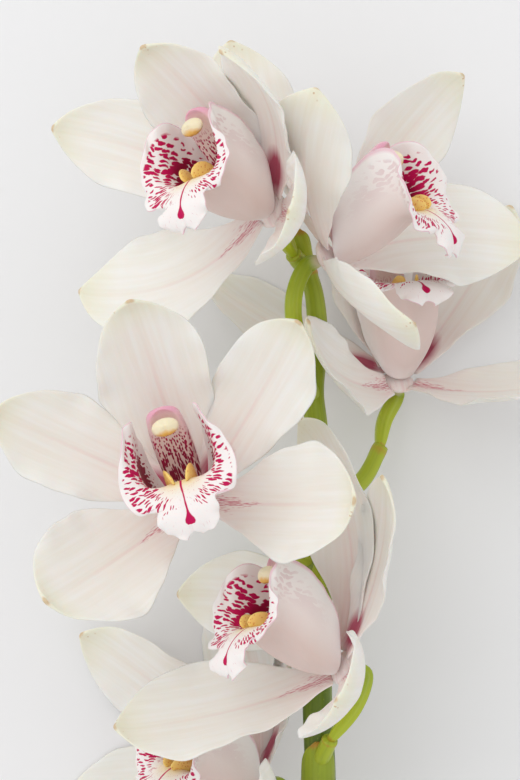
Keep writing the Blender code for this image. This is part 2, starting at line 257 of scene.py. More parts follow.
# The stem from its tip down to its cut end, and its radius at each point.
STEM = (
    (12.3, 36.0, 0.0, 2.3),
    (15.1, 26.6, 0.0, 2.7),
    (16.0, 14.0, 0.0, 3.0),
    (14.8, 0.0, 0.0, 3.1),
    (15.7, -11.0, 0.0, 3.3),
    (16.8, -31.0, 0.0, 3.6),
    (16.3, -59.0, 0.0, 3.9),
    (16.0, -87.0, 0.0, 4.2),
    (16.8, -109.0, 0.0, 4.4),
    (16.2, -137.0, 0.0, 4.6),
    (13.5, -180.0, -3.0, 4.7),
    (9.0, -240.0, -10.5, 4.9),
    (3.0, -300.0, -20.0, 5.0),
    (-3.0, -350.0, -27.5, 5.1),
    (-7.0, -382.0, -31.0, 5.2),
)

# Sheathing scales: foot, direction, radius at the foot, length, the side that they stand on, half
# their wrap, and their age from 0, young, to 1.
SCALES = (
    ((12.9, 33.5, 0.0), (-0.25, 1.0, 0.1), 2.4, 12.0, 90.0, 110.0, 0.25),
    ((16.6, -55.0, 0.0), (0.02, 1.0, 0.0), 3.9, 11.0, 130.0, 80.0, 0.4),
    ((16.2, -110.0, 0.0), (0.0, 1.0, 0.0), 4.4, 12.0, 90.0, 80.0, 0.6),
    ((15.0, -165.0, -1.8), (0.05, 1.0, 0.05), 4.7, 34.0, 70.0, 120.0, 0.85),
    ((8.2, -250.0, -12.0), (0.085, 1.0, 0.145), 4.95, 44.0, 120.0, 130.0, 0.95),
    ((-2.0, -341.0, -26.2), (0.11, 1.0, 0.145), 5.1, 48.0, 60.0, 130.0, 0.95),
)


def linear(code):
    """A hex sRGB colour as linear red, green and blue."""
    parts = [int(code[i : i + 2], 16) / 255 for i in (1, 3, 5)]
    return tuple(c / 12.92 if c <= 0.04045 else ((c + 0.055) / 1.055) ** 2.4 for c in parts)


def colour(name, code, description):
    """A colour property with its default given as a hex code."""
    return FloatVectorProperty(
        name=name, description=description, subtype="COLOR", size=3, min=0, max=1, default=linear(code)
    )


def length(name, millimetres, description):
    """A length property with its default given in millimetres."""
    return FloatProperty(
        name=name,
        description=description,
        default=millimetres / 1000,
        min=0.0,
        unit="LENGTH",
        precision=4,
    )


class OrchidSizes(bpy.types.PropertyGroup):
    """Sizes of the fine forms."""

    tepal_thick: length("Tepal thickness", 1.2, "Thickness of a sepal or petal in its middle")
    ripple: length("Margin ripple", 1.2, "How far the margin of a sepal or petal waves")
    midrib: length("Midrib", 0.5, "Depth of the groove along the middle of a sepal or petal")
    hook: length("Tip hook", 1.6, "How far the tip of a sepal or petal turns forwards")
    lip_thick: length("Lip thickness", 1.0, "Thickness of the lip")
    ruffle: length("Lip ruffle", 1.1, "How far the margin of the lip waves")
    keel: length("Keel height", 5.6, "Height of the two keels on the lip")
    rib: length("Ovary rib", 0.22, "Height of the ribs along an ovary")
    collar: length("Joint collar", 0.35, "How far the rings at the joints stand out")


class OrchidColours(bpy.types.PropertyGroup):
    """Colours of the finishes."""

    cream: colour("Cream", "#F3F2EF", "Sepals and petals in the light")
    shade: colour("Warm cream", "#ECE7DB", "Sepals and petals where the flesh is denser")
    blush: colour("Blush", "#EACFCD", "Pink flush at the base and along the middle vein")
    tip: colour("Tip", "#E0E0B0", "Green yellow of the tips")
    streak: colour("Streak", "#C23A5E", "Dotted streaks at the base of a lateral sepal")
    stain: colour("Stain", "#AC2A52", "Dark patch at the base of a petal")
    dry: colour("Dry edge", "#B9822E", "Dry spots and bract tips")
    lip_white: colour("Lip white", "#F6F0EE", "Ground of the lip")
    crimson: colour("Crimson", "#C40F55", "Dashes of the lip")
    maroon: colour("Maroon", "#900A35", "Patches deep in the lip")
    lip_back: colour("Lip back", "#E4D0CA", "Outside of the lip")
    keel: colour("Keel", "#FAD47A", "The two keels")
    keel_spot: colour("Keel spot", "#D9731F", "Spots on the keels")
    yellow: colour("Throat yellow", "#F4E0A2", "Flush round the ends of the keels")
    rose: colour("Rose", "#F9E4DC", "Underside of the column")
    hood: colour("Hood", "#E6A9BD", "Rim of the column")
    cap: colour("Anther cap", "#F3E8C6", "The anther cap")
    cap_edge: colour("Cap edge", "#EBB75C", "Lower edge of the anther cap")
    young: colour("Young green", "#B3BF2C", "Ovaries and the upper stem")
    green: colour("Green", "#6E8A1E", "Stem between the blooms")
    deep: colour("Deep green", "#58701A", "Lower stem")
    pith: colour("Pith", "#D9DEB4", "Cut face of the stem")
    floor: colour("Floor", "#F0F0F1", "The table")


class OrchidStage(bpy.types.PropertyGroup):
    """Light and camera."""

    sky: FloatProperty(name="Sky", description="Strength of the light from all round", default=0.84, min=0.0)
    lamp: FloatProperty(name="Lamp", description="Power of the soft box", default=7.0, min=0.0, unit="POWER")
    lamp_size: length("Soft box", 1300.0, "Side of the soft box")
    camera_height: length("Camera height", 936.0, "How far the camera is above the table")
    lens: FloatProperty(name="Lens", description="Focal length in millimetres", default=148.35, min=1.0)


def unit(v):
    v = np.asarray(v, float)
    return v / np.linalg.norm(v, axis=-1, keepdims=True)


def turned(a, b, degrees):
    """Two vectors turned towards each other about the axis that both stand on."""
    r = np.radians(degrees)
    return np.cos(r) * a + np.sin(r) * b, -np.sin(r) * a + np.cos(r) * b


def bump(x, centre, spread):
    """A smooth hump of height 1."""
    return np.exp(-(((x - centre) / spread) ** 2))


def ramp(x, low, high):
    """A smooth step from 0 at low to 1 at high."""
    s = np.clip((x - low) / (high - low), 0, 1)
    return s * s * (3 - 2 * s)


def axes_of(bloom):
    """Columns: right of the bloom, its dorsal direction, and the way it faces."""
    facing = unit(bloom.faces)
    up = np.asarray(bloom.up, float)
    dorsal = unit(up - facing * np.dot(up, facing))
    return np.column_stack([np.cross(dorsal, facing), dorsal, facing])


def placed(bloom, points):
    """Points in a bloom's own frame, brought to their place over the table."""
    return np.asarray(bloom.seat, float) + points @ axes_of(bloom).T


def smooth_line(points, at):
    """A Catmull-Rom curve through the points, at parameters from 0 to 1."""
    p = np.asarray(points, float)
    p = np.vstack([2 * p[0] - p[1], p, 2 * p[-1] - p[-2]])
    x = np.clip(np.asarray(at, float), 0, 1) * (len(p) - 3)
    k = np.minimum(x.astype(int), len(p) - 4)
    f = (x - k)[..., None]
    a, b, c, d = p[k], p[k + 1], p[k + 2], p[k + 3]
    return 0.5 * (
        2 * b + (c - a) * f + (2 * a - 5 * b + 4 * c - d) * f**2 + (3 * b - a - 3 * c + d) * f**3
    )


def half_width(t, tepal):
    """Half the width of a tepal at t of its length: a narrow base, widest past the middle, a blunt tip."""
    most, tip = tepal.width / 2, 0.8
    rise = np.clip(t / tepal.widest, 0, 1)
    fall = np.clip((t - tepal.widest) / (1 - tepal.widest), 0, 1)
    grow = CLAW + (most - CLAW) * np.sin(np.pi / 2 * rise) ** 1.5
    close = tip + (most - tip) * (1 - fall**2.2) ** 0.86
    return np.where(t < tepal.widest, grow, close)


def tepal_points(tepal, axes, t, v):
    """Points of the middle surface of a tepal, t along it from 0 to 1 and v across it from -1 to 1."""
    facing = axes[:, 2]
    tip = np.asarray(tepal.tip, float)
    flat = unit(tip - facing * np.dot(tip, facing))
    base = RING * flat + tepal.step * facing
    chord = tip - base
    along = unit(chord)
    front = unit(facing - along * np.dot(facing, along))
    side = np.cross(along, front)
    side, front = turned(side, front, tepal.roll)
    arch = 4 * t * (1 - t)
    middle = (
        base
        + chord * t[:, None]
        - front * (tepal.belly * arch)[:, None]
        + side * (tepal.sway * arch)[:, None]
    )
    slope = 4 * (1 - 2 * t)
    run = unit(chord - front * (tepal.belly * slope)[:, None] + side * (tepal.sway * slope)[:, None])
    across = unit(side - run * (run @ side)[:, None])
    normal = np.cross(across, run)
    across, normal = turned(across, normal, (tepal.twist * t)[:, None])
    h = half_width(t, tepal)
    bent = np.radians(tepal.channel) * (0.4 + 0.6 * np.sin(np.pi * t) ** 0.8) + 1e-6
    wide = h * np.sin(bent * v) / bent
    deep = h * (1 - np.cos(bent * v)) / bent
    return middle + across * wide[:, None] + normal * deep[:, None]


def lip_points(u, v):
    """Points of the middle surface of the lip in the frame of its bloom, u along it and v across it."""
    middle = smooth_line([(0.0,) + m for m, _, _ in LIP], u)
    corner = smooth_line([c for _, c, _ in LIP], u)
    margin = smooth_line([e for _, _, e in LIP], u)
    w = np.abs(v)[:, None]
    point = (1 - w) ** 2 * middle + 2 * w * (1 - w) * corner + w**2 * margin
    point[:, 0] *= np.sign(v)
    return point


def raised(surface, a, b, height):
    """Points of a surface moved along its normal by a height in millimetres."""
    step = 0.004
    a_in = np.clip(a, step, 1 - step)
    b_in = np.where(np.abs(b) < step, step, np.clip(b, step - 1, 1 - step))
    along = surface(a_in + step, b_in) - surface(a_in - step, b_in)
    across = surface(a_in, b_in + step / 2) - surface(a_in, b_in - step / 2)
    return surface(a, b) + unit(np.cross(across, along)) * height[:, None]


def lifted(points, clear):
    """Bends what would reach the table so that it lies on it. The bend is sharper as sharp grows."""
    sharp = 1.5
    over = points[:, 2] - (FLOOR + clear)
    soft = np.log1p(np.exp(np.clip(sharp * over, -30, 30))) / sharp
    points[:, 2] = FLOOR + clear + np.where(over > 4, over, soft)
    return points


def eased(t):
    """Places along a line that stand closer together at its two ends."""
    return (1 - np.cos(np.pi * t)) / 2


def swept(points, wide, deep, sideways, t, x, y):
    """Points round a curved line. x and y place each point in a section of half size 1."""
    t = eased(t)
    line = smooth_line(points, t)
    run = unit(smooth_line(points, t + 0.01) - smooth_line(points, t - 0.01))
    across = unit(sideways - run * (run @ sideways)[:, None])
    normal = np.cross(run, across)
    w = smooth_line([(one, 0) for one in wide], t)[:, 0]
    d = smooth_line([(one, 0) for one in deep], t)[:, 0]
    return line + across * (w * x)[:, None] + normal * (d * y)[:, None]


def blank(*marks):
    """An empty bmesh whose vertices can carry the named marks, three numbers each, and a weight."""
    bm = bmesh.new()
    bm.verts.layers.deform.verify()
    for name in marks:
        bm.verts.layers.float_vector.new(name)
    return bm


def put(bm, verts, points, flesh=None, **marks):
    """Moves vertices to their points, in millimetres, and writes how thick they are and their marks.

    A mark is three columns, each of them an array or one number for all.
    """
    layers = [
        (bm.verts.layers.float_vector[name], np.column_stack(np.broadcast_arrays(*columns, points[:, 0])))
        for name, columns in marks.items()
    ]
    weight = bm.verts.layers.deform.active
    for i, vert in enumerate(verts):
        vert.co = points[i]
        if flesh is not None:
            vert[weight][0] = float(flesh[i])
        for layer, values in layers:
            vert[layer] = [float(n) for n in values[i][:3]]


def grid(bm, rows, cols):
    """A flat grid in a bmesh: its vertices, how far along each is, and how far across."""
    verts = bmesh.ops.create_grid(bm, x_segments=cols, y_segments=rows, size=1.0)["verts"]
    co = np.array([v.co[:] for v in verts])
    return verts, (co[:, 1] + 1) / 2, co[:, 0]


def ball(bm, sides, rings):
    """A ball in a bmesh: its vertices, how far along each is, its angle, and its share of the radius."""
    verts = bmesh.ops.create_uvsphere(bm, u_segments=sides, v_segments=rings, radius=1.0)["verts"]
    co = np.array([v.co[:] for v in verts])
    t = 1 - np.arccos(np.clip(co[:, 2], -1, 1)) / np.pi
    return verts, t, np.arctan2(co[:, 1], co[:, 0]), np.hypot(co[:, 0], co[:, 1])


def tube(bm, sides, rows):
    """A closed tube in an empty bmesh: its vertices, how far along each is, and its angle."""
    bmesh.ops.create_cone(
        bm, cap_ends=True, cap_tris=False, segments=sides, radius1=1.0, radius2=1.0, depth=2.0
    )
    upright = [e for e in bm.edges if abs(e.verts[0].co.z - e.verts[1].co.z) > 1]
    bmesh.ops.subdivide_edges(bm, edges=upright, cuts=rows - 1, use_grid_fill=True)
    verts = bm.verts[:]
    co = np.array([v.co[:] for v in verts])
    return verts, (1 + co[:, 2]) / 2, np.arctan2(co[:, 1], co[:, 0])


def made_object(bm, name, *skins):
    """A smooth mesh object in metres from a bmesh in millimetres, with its materials."""
    shift = Matrix.Translation((-CENTRE[0], -CENTRE[1], -FLOOR))
    bmesh.ops.transform(bm, matrix=Matrix.Scale(0.001, 4) @ shift, verts=bm.verts)
    for face in bm.faces:
        face.smooth = True
    mesh = bpy.data.meshes.new(name)
    bm.to_mesh(mesh)
    bm.free()
    for skin in skins:
        mesh.materials.append(skin)
    thing = bpy.data.objects.new(name, mesh)
    bpy.context.scene.collection.objects.link(thing)
    return thing


def thickened(thing, thick, offset=0.0, rim=0):
    """Gives a surface its thickness and rounds its edge. Its back takes the next material."""
    shell = thing.modifiers.new("Thickness", "SOLIDIFY")
    shell.thickness = thick
    shell.offset = offset
    shell.use_even_offset = False
    thing.vertex_groups.new(name="flesh")
    shell.vertex_group = "flesh"
    shell.thickness_vertex_group = MARGIN_SHARE
    shell.material_offset = 1
    shell.material_offset_rim = rim
    round_off = thing.modifiers.new("Rounding", "SUBSURF")
    round_off.levels = round_off.render_levels = 1
    graph = bpy.context.evaluated_depsgraph_get()
    mesh = bpy.data.meshes.new_from_object(thing.evaluated_get(graph))
    thing.modifiers.clear()
    thing.data = mesh
    return thing


def joined(things):
    """One object from several."""
    with bpy.context.temp_override(
        active_object=things[0], object=things[0], selected_editable_objects=things, selected_objects=things
    ):
        if bpy.ops.object.join() != {"FINISHED"}:
            raise RuntimeError("The pieces of " + things[0].name + " could not be joined")
    return things[0]


def finished(thing, node):
    """Lets a piece stand for its solid."""
    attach(thing, "root")
    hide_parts(node)


def material(name):
    """A new material, and the function that adds a node to it."""
    made = bpy.data.materials.new(name)
    made.use_nodes = True
    return made, partial(new_node, made.node_tree)


def feed(tree, node, inputs):
    """Gives a node's inputs values or links, by name or in the order that the node shows them."""
    if isinstance(inputs, dict):
        pairs = [(node.inputs[name], value) for name, value in inputs.items()]
    else:
        pairs = list(zip([socket for socket in node.inputs if socket.enabled], inputs))
    for socket, value in pairs:
        if isinstance(value, bpy.types.NodeSocket):
            tree.links.new(value, socket)
        else:
            socket.default_value = (*value, 1.0) if isinstance(value, Color) else value


def new_node(tree, kind, inputs=(), output=None, **settings):
    """Adds a node with its settings and inputs. Returns its named output, or else its first one."""
    node = tree.nodes.new("ShaderNode" + kind)
    for name, value in settings.items():
        setattr(node, name, value)
    feed(tree, node, inputs)
    return node.outputs[output] if output else next(one for one in node.outputs if one.enabled)


def coat(made, add, layers, relief, flesh, finish):
    """Coats a material's surface and returns the material.

    layers is a ground colour, then pairs of a mask and the colour laid over where it is high.
    relief is a height, how strongly it shows, and its depth in metres. flesh is how much light goes
    in, how far red, green and blue spread in it, and the metres that one unit of spread stands for.
    """
    skin, *over = layers
    for mask, above in over:
        skin = add("Mix", [mask, skin, above], data_type="RGBA")
    height, strength, depth = relief
    bumps = add("Bump", {"Height": height, "Strength": strength, "Distance": depth})
    inward = dict(zip(("Subsurface Weight", "Subsurface Radius", "Subsurface Scale"), flesh))
    surface = made.node_tree.nodes["Principled BSDF"]
    feed(made.node_tree, surface, {"Base Color": skin, "Normal": bumps, **inward, **finish})
    return made


def petal_skin(name, colours, front):
    """Fresh petal: thick soft flesh under a thin wax, grown with faint veins along it.

    The eye sees a warm white that lets light through at the edges, a soft sheen and no sharp gloss.
    """
    made, add = material(name)
    blade = add("Attribute", output="Vector", attribute_name="blade")
    tint = add("Attribute", output="Vector", attribute_name="tint")
    side, _, far = add("SeparateXYZ", [blade]).node.outputs
    streak, stain, flush = add("SeparateXYZ", [tint]).node.outputs
    spot = add("TexCoord", output="Object")

    # Broad clouds of denser flesh, about 25 mm across.
    clouds = add("TexNoise", {"Vector": spot, "Scale": 40.0, "Detail": 2.0})
    # Veins run along the blade, about 1.3 mm apart.
    stretched = add("Mapping", {"Vector": blade, "Scale": (0.75, 0.03, 1.0)})
    veins = add("TexNoise", {"Vector": stretched, "Scale": 1.0, "Detail": 2.0})
    dense = add("Math", [veins, 1.6, clouds], operation="MULTIPLY_ADD")
    dense = add("MapRange", [dense, 0.6, 2.1])

    # A pink flush, stronger along the veins.
    flush = add("Math", [flush, veins], operation="MULTIPLY")
    flush = add("Math", [flush, 1.5], operation="MULTIPLY", use_clamp=True)

    # The green yellow tip.
    tip = add("MapRange", [far, 0.82, 1.0, 0.0, 0.38])

    # The middle vein is a pink line 0.9 mm wide that fades out towards the tip.
    off_middle = add("Math", [side], operation="ABSOLUTE")
    line = add("MapRange", [off_middle, 0.15, 0.75, 1.0, 0.0], interpolation_type="SMOOTHSTEP")
    fade = add("MapRange", [far, 0.1, 0.8, 0.6, 0.0])
    line = add("Math", [line, fade], operation="MULTIPLY")
    layers = [colours.cream, (dense, colours.shade), (flush, colours.blush)]
    layers += [(tip, colours.tip), (line, colours.blush)]

    if front:
        # Dotted streaks about 0.4 mm wide and 2.5 mm long, where the tint has its streak.
        fine = add("Mapping", {"Vector": blade, "Scale": (2.6, 0.4, 1.0)})
        dots = add("TexNoise", {"Vector": fine, "Scale": 1.0, "Detail": 1.0})
        level = add("Math", [streak, 0.3, -0.72], operation="MULTIPLY_ADD")
        dots = add("Math", [dots, level], operation="ADD")
        dots = add("MapRange", [dots, -0.02, 0.16])
        mask = add("MapRange", [streak, 0.1, 0.6, 0.0, 0.7])
        dots = add("Math", [dots, mask], operation="MULTIPLY")

        # The dark patch with a feathered edge.
        patch = add("Math", [veins, stain, -0.35], operation="MULTIPLY_ADD")
        patch = add("Math", [patch, stain], operation="ADD")
        patch = add("MapRange", [patch, 0.0, 0.7, 0.0, 0.9])
        layers += [(dots, colours.streak), (patch, colours.stain)]

    # A few small dry specks near the tip, and a dry point over the last 0.6 mm.
    near_tip = add("MapRange", [far, 0.93, 0.99])
    specks = add("TexVoronoi", {"Vector": blade, "Scale": 0.55})
    specks = add("MapRange", [specks, 0.1, 0.2, 0.7, 0.0])
    specks = add("Math", [specks, near_tip], operation="MULTIPLY")
    point = add("MapRange", [far, 0.99, 1.0, 0.0, 0.5])
    specks = add("Math", [specks, point], operation="MAXIMUM")
    layers.append((specks, colours.dry))

    gloss = add("MapRange", {"Value": veins, "To Min": 0.42, "To Max": 0.6})
    finish = {"Roughness": gloss, "IOR": 1.38, "Specular IOR Level": 0.4}
    flesh = 0.25, (1.0, 0.6, 0.45), 0.002
    return coat(made, add, layers, (veins, 0.35, 0.0003), flesh, finish)


def lip_skin(name, colours, inside):
    """Fresh lip flesh, thinner and more matt than a petal, with spots grown in rows from the throat.

    The eye sees a clean white ground with wet looking crimson dashes inside, and outside a dusky
    pink through which the dashes show.
    """
    made, add = material(name)
    fan, zones, extra = (
        add("Attribute", output="Vector", attribute_name=mark) for mark in ("fan", "zones", "extra")
    )
    edge, density, patch = add("SeparateXYZ", [zones]).node.outputs
    line, yellow, deep = add("SeparateXYZ", [extra]).node.outputs

    # Dashes in rows that fan out from the throat: rows 1.1 mm apart, dashes up to 4 mm long.
    wander = add("TexNoise", {"Vector": fan, "Scale": 0.34, "Detail": 2.0}, output="Color")
    wander = add("VectorMath", [wander, (0.5, 0.5, 0.5)], operation="SUBTRACT")
    pushed = add("VectorMath", [wander, (1.8, 1.8, 1.8), fan], operation="MULTIPLY_ADD")
    rows = add("Mapping", {"Vector": pushed, "Scale": (0.95, 0.26, 1.0)})
    cells = {"Vector": rows, "Scale": 1.0, "Randomness": 0.75}
    nearest = add("TexVoronoi", cells, voronoi_dimensions="2D")
    size = add("TexNoise", {"Vector": fan, "Scale": 0.22, "Detail": 1.0})
    reach = add("Math", [size, 0.85, -0.06], operation="MULTIPLY_ADD")
    reach = add("Math", [reach, density], operation="MULTIPLY")
    reach = add("Math", [patch, 0.95, reach], operation="MULTIPLY_ADD")
    dashes = add("Math", [reach, nearest], operation="SUBTRACT")
    dashes = add("MapRange", [dashes, -0.03, 0.05])

    # A clear margin, 1.8 mm wide.
    ragged = add("Math", [size, 1.4, edge], operation="MULTIPLY_ADD")
    inner = add("MapRange", [ragged, 2.3, 2.8])
    dashes = add("Math", [dashes, inner], operation="MULTIPLY")

    # Papillae give the lip a velvet grain, drawn 0.5 mm across so that it shows.
    spot = add("TexCoord", output="Object")
    height = add("TexNoise", {"Vector": spot, "Scale": 2000.0, "Detail": 1.0})
    gloss = 0.6

    if inside:
        # The line down the middle and the blob that it ends in.
        stripe = add("Math", [size, 0.5, line], operation="MULTIPLY_ADD")
        stripe = add("MapRange", [stripe, 0.1, 0.3])
        ink = add("Mix", [deep, colours.crimson, colours.maroon], data_type="RGBA")
        layers = [colours.lip_white, (yellow, colours.yellow), (dashes, ink), (stripe, colours.crimson)]
        # The ink swells the cells a little, so a dash stands out and is glossier.
        height = add("Math", [dashes, 0.5, height], operation="MULTIPLY_ADD")
        gloss = add("MapRange", {"Value": dashes, "To Min": gloss, "To Max": 0.5})
    else:
        pale = add("MapRange", [edge, 2.0, 16.0])
        # The dashes show through faintly near the margin.
        near = add("MapRange", [edge, 4.0, 9.0, 0.22, 0.0])
        through = add("Math", [dashes, near], operation="MULTIPLY")
        through = add("Math", [through, density], operation="MULTIPLY")
        # A pink line along the edge, 0.6 mm wide.
        hem = add("MapRange", [edge, 0.3, 0.9, 0.55, 0.0])
        layers = [colours.lip_white, (pale, colours.lip_back), (through, colours.stain), (hem, colours.hood)]

    finish = {"Roughness": gloss, "IOR": 1.38, "Specular IOR Level": 0.25}
    return coat(made, add, layers, (height, 0.25, 0.0002), (0.15, (1.0, 0.5, 0.45), 0.0012), finish)


def keel_skin(colours):
    """Fleshy callus with a wet, slightly swollen surface: egg yellow with orange freckles."""
    made, add = material("callus_flesh")
    spot = add("TexCoord", output="Object")
    # Freckles about 0.4 mm across and 0.8 mm apart.
    cells = add("TexVoronoi", {"Vector": spot, "Scale": 1300.0})
    freckles = add("MapRange", [cells, 0.16, 0.34, 0.7, 0.0])
    layers = [colours.keel, (freckles, colours.keel_spot)]
    finish = {"Roughness": 0.38, "IOR": 1.4}
    return coat(made, add, layers, (cells, 0.3, 0.0002), (0.2, (1.0, 0.6, 0.2), 0.0015), finish)


def column_skin(colours):
    """Waxy column flesh: smooth and a little glossy, dusky rose below with dark dots that run into
    streaks towards the throat, pink on the back, and a mauve rim."""
    made, add = material("column_flesh")
    barrel = add("Attribute", output="Vector", attribute_name="barrel")
    parts = add("Attribute", output="Vector", attribute_name="parts")
    under, rim, throat = add("SeparateXYZ", [parts]).node.outputs

    # Dots 0.4 mm wide near the tip, and streaks 0.5 mm wide and up to 3 mm long near the throat.
    short = add("Mapping", {"Vector": barrel, "Scale": (1.6, 1.0, 1.0)})
    dot_cells = add("TexVoronoi", {"Vector": short, "Scale": 1.0}, voronoi_dimensions="2D")
    long = add("Mapping", {"Vector": barrel, "Scale": (1.9, 0.3, 1.0)})
    streak_cells = add("TexVoronoi", {"Vector": long, "Scale": 1.0}, voronoi_dimensions="2D")
    cells = add("Mix", [throat, dot_cells, streak_cells])
    reach = add("MapRange", {"Value": throat, "To Min": 0.3, "To Max": 0.52})
    marks = add("Math", [reach, cells], operation="SUBTRACT")
    marks = add("MapRange", [marks, -0.02, 0.05])
    low = add("MapRange", [throat, 0.1, 0.3])
    marks = add("Math", [marks, low], operation="MULTIPLY")
    marks = add("Math", [marks, under], operation="MULTIPLY")
    ink = add("Mix", [throat, colours.crimson, colours.maroon], data_type="RGBA")
    layers = [colours.blush, (under, colours.rose), (rim, colours.hood), (marks, ink)]
    finish = {"Roughness": 0.36, "IOR": 1.4}
    flesh = 0.15, (1.0, 0.5, 0.45), 0.0015
    return coat(made, add, layers, (streak_cells, 0.2, 0.0002), flesh, finish)


def cap_skin(colours):
    """Anther cap: a dry, waxy shell, pale cream with an egg yellow lower edge and a soft sheen."""
    made, add = material("anther_wax")
    parts = add("Attribute", output="Vector", attribute_name="parts")
    lower = add("SeparateXYZ", [parts], output="X")
    spot = add("TexCoord", output="Object")
    # Mottling about 0.8 mm across.
    mottle = add("TexNoise", {"Vector": spot, "Scale": 1200.0, "Detail": 2.0})
    edge = add("Math", [mottle, 0.5, lower], operation="MULTIPLY_ADD")
    edge = add("MapRange", [edge, 0.45, 1.1])
    layers = [colours.cap, (edge, colours.cap_edge)]
    finish = {"Roughness": 0.5, "IOR": 1.42}
    return coat(made, add, layers, (mottle, 0.25, 0.0002), (0.15, (1.0, 0.8, 0.4), 0.001), finish)


def green_skin(name, colours, old):
    """Young plant stem: turgid cells under a smooth wax, so it is bright, with a broad soft gloss,
    faint lines along it and fine pale dots."""
    made, add = material(name)
    rind = add("Attribute", output="Vector", attribute_name="rind")
    parts = add("Attribute", output="Vector", attribute_name="parts")
    aged, dried, pale = add("SeparateXYZ", [parts]).node.outputs
    # Lines along the stem, about 1 mm apart.
    stretched = add("Mapping", {"Vector": rind, "Scale": (1.0, 0.02, 1.0)})
    lines = add("TexNoise", {"Vector": stretched, "Scale": 1.0, "Detail": 2.0})
    age = add("Math", [lines, 0.5, aged], operation="MULTIPLY_ADD")
    age = add("Math", [age, 0.25], operation="SUBTRACT", use_clamp=True)
    # Pale dots 0.4 mm across and 1.7 mm apart.
    dots = add("TexVoronoi", {"Vector": rind, "Scale": 0.6})
    dots = add("MapRange", [dots, 0.06, 0.16, 0.25, 0.0])
    # Rings and the tips of scales go tan.
    tan = add("Math", [lines, 0.6, dried], operation="MULTIPLY_ADD")
    tan = add("MapRange", [tan, 0.6, 1.1, 0.0, 0.85])
    # The green fades where the ovary meets the bloom.
    faded = add("Math", [pale, 0.7], operation="MULTIPLY")
    layers = [colours.young, (age, old), (dots, colours.young), (tan, colours.dry), (faded, colours.blush)]
    gloss = add("MapRange", {"Value": lines, "To Min": 0.28, "To Max": 0.44})
    finish = {"Roughness": gloss, "IOR": 1.42}
    return coat(made, add, layers, (lines, 0.3, 0.0002), (0.12, (0.5, 1.0, 0.15), 0.0015), finish)


def pith_skin(colours):
    """Cut stem: wet open cells, so it is pale, matt and finely porous."""
    made, add = material("cut_pith")
    spot = add("TexCoord", output="Object")
    # Vessels about 0.6 mm apart.
    cells = add("TexVoronoi", {"Vector": spot, "Scale": 1600.0})
    pores = add("MapRange", [cells, 0.1, 0.35, 0.6, 0.0])
    layers = [colours.pith, (pores, colours.young)]
    return coat(made, add, layers, (cells, 0.4, 0.0002), (), {"Roughness": 0.6, "IOR": 1.35})


def tint_of(kind, x, y, t):
    """Streak, stain and flush of a point on a tepal. x and y are millimetres from its base."""
    if kind == "dorsal":
        return 0, 0, 0.6 * bump(x, 0, 7) * (1 - t) + 0.4 * bump(y, 0, 14)
    if kind == "petal":
        streak = 0.5 * bump(y, 12, 4) * bump(x, 0, 1.6)
        stain = bump(y, 7.5, 7.0) * bump(x, 0, 4.2)
        return streak, stain, 0.5 * bump(y, 0, 18) + 0.25 * bump(x, 0, 8) * (1 - t)
    streak = bump(y, 3, 8) * bump(x, 0, 3.2) + 0.8 * bump(y, 12, 6) * bump(x, 0, 0.9)
    return np.clip(streak, 0, 1), 0, 0.5 * bump(y, 0, 14) + 0.15 * bump(x, 0, 8) * (1 - t)


def make_tepals(name, bloom, sizes, front, back):
    """The five tepals and the seat that they grow from."""
    axes = axes_of(bloom)
    bm = blank("blade", "tint")
    for k, (one, kind) in enumerate(zip(bloom.tepals, KINDS)):
        verts, s, c = grid(bm, 30, 16)
        # Rows stand closer together towards the tip, and columns towards the middle.
        t = 1 - (1 - s) ** 1.25
        v = c * (0.6 + 0.4 * c**2)
        phase = 2.1 * int(name) + 1.3 * k
        # The outline bulges in and out a little, and no two sides alike.
        bulge = np.sin(TURN * 2.7 * t + phase + 1.9 * np.sign(v)) + 0.5 * np.sin(TURN * 6.1 * t - phase)
        v = v * (1 + 0.022 * bulge * np.abs(v) * np.sin(np.pi * t))
        x, y = half_width(t, one) * v, t * np.linalg.norm(one.tip)
        wave = np.sin(TURN * (1.9 * t + 0.17 * np.sign(v)) + phase)
        fine = np.sin(TURN * (5.3 * t + 0.31 * np.sign(v)) + 2.2 * phase)
        height = 1000 * sizes.ripple * (wave + 0.35 * fine) * np.abs(v) ** 3 * np.sin(np.pi * t) ** 0.7
        height = height - 1000 * sizes.midrib * bump(x, 0, 1.5) * (1 - t) ** 0.5
        height = height + 1000 * sizes.hook * np.clip((t - 0.9) / 0.1, 0, 1) ** 2
        points = raised(lambda a, b: tepal_points(one, axes, a, b), t, v, height)
        points = lifted(np.asarray(bloom.seat, float) + points, 500 * sizes.tepal_thick + 0.1)
        put(bm, verts, points, 1 - np.abs(v) ** 4, blade=(x, y, t), tint=tint_of(kind, x, y, t))
    blades = thickened(made_object(bm, "tepals_" + name, front, back), sizes.tepal_thick)

    bm = blank("blade", "tint")
    verts, t, angle, share = ball(bm, 24, 12)
    x, y = SEAT_RADIUS * share * np.cos(angle), SEAT_RADIUS * share * np.sin(angle)
    local = np.column_stack([x, y, SEAT_BACK + (SEAT_FRONT - SEAT_BACK) * t])
    put(bm, verts, placed(bloom, local), blade=(x, y, 0.1), tint=(0.35, 0, 0.6))
    return joined([blades, made_object(bm, "seat_" + name, front)])


